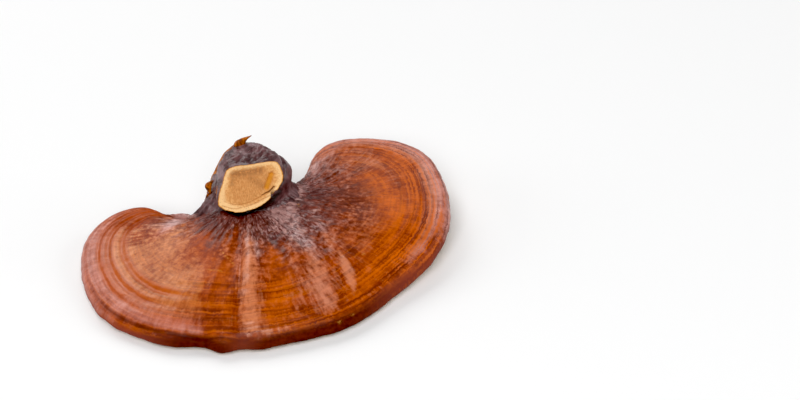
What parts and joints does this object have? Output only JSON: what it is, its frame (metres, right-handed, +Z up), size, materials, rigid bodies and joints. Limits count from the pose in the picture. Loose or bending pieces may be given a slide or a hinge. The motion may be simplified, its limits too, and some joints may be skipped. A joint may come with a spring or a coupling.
{
  "type": "dried reishi mushroom",
  "caption": "Dried reishi mushroom: a kidney-shaped, lacquered bracket cap with growth bands, and a short stem stub that curls up from its notch and ends in a slanting saw cut.",
  "frame": {"origin": "middle of the bounding box at its lowest level, on the surface that the pore side lies on", "axes": "+X across the two lobes towards the wider one, +Y towards the notch at the back where the stem is, +Z up out of the cap's top"},
  "size_m": [0.1488, 0.1124, 0.0474],
  "materials": {
    "cap": "glossy lacquered crust, amber to dark maroon",
    "stem": "satin, dark purple-brown skin with a tan cut face"
  },
  "bodies": {
    "root": {"cap": "cap", "stem": "stem"}
  },
  "joints": []
}
